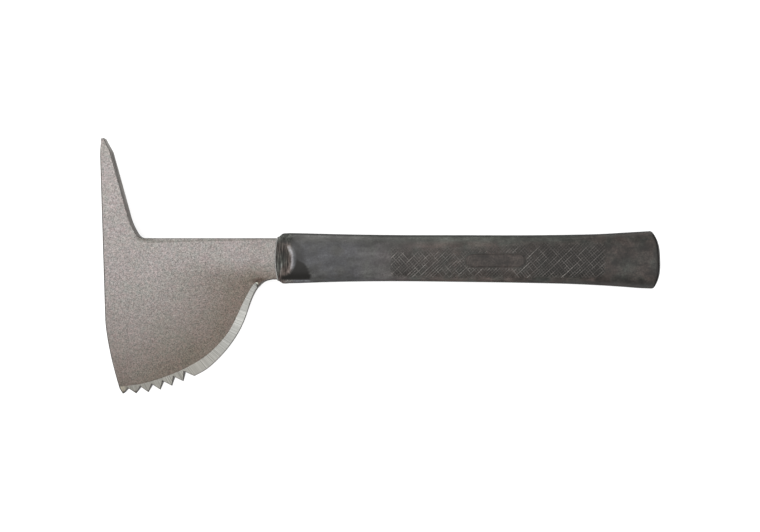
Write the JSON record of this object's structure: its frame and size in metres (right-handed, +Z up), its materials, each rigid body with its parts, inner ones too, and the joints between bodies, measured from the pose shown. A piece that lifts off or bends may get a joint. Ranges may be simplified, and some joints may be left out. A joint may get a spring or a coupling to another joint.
{
  "type": "pick-headed hatchet",
  "caption": "Short flat-steel hatchet with a back pick, a bevelled saw-toothed blade, a plain neck and a moulded rubber grip with checkered sides.",
  "frame": {"origin": "on the surface that the tool lies on, under the middle of its bounding box, with the tool lying on its side", "axes": "+X along the handle from the head to the butt, +Y from the blade's cutting edge to the pick, +Z up, through the plate's thickness"},
  "size_m": [0.3782, 0.173, 0.0281],
  "materials": {
    "head_steel": "bead-blasted warm grey steel, with the bevel ground bright across its edge",
    "grip_rubber": "moulded black rubber, slightly glossy, with fine raised checkering on both sides",
    "core_nylon": "natural glass-filled nylon",
    "rivet_steel": "plain zinc-plated steel",
    "mouth_sealant": "thin grey adhesive bead"
  },
  "bodies": {
    "root": {"blade_head": "head_steel", "core_half_upper": "core_nylon", "core_half_lower": "core_nylon", "tang_rivet_1": "rivet_steel", "tang_rivet_2": "rivet_steel", "tang_rivet_3": "rivet_steel", "rubber_grip": "grip_rubber", "mouth_bead": "mouth_sealant"}
  },
  "joints": []
}
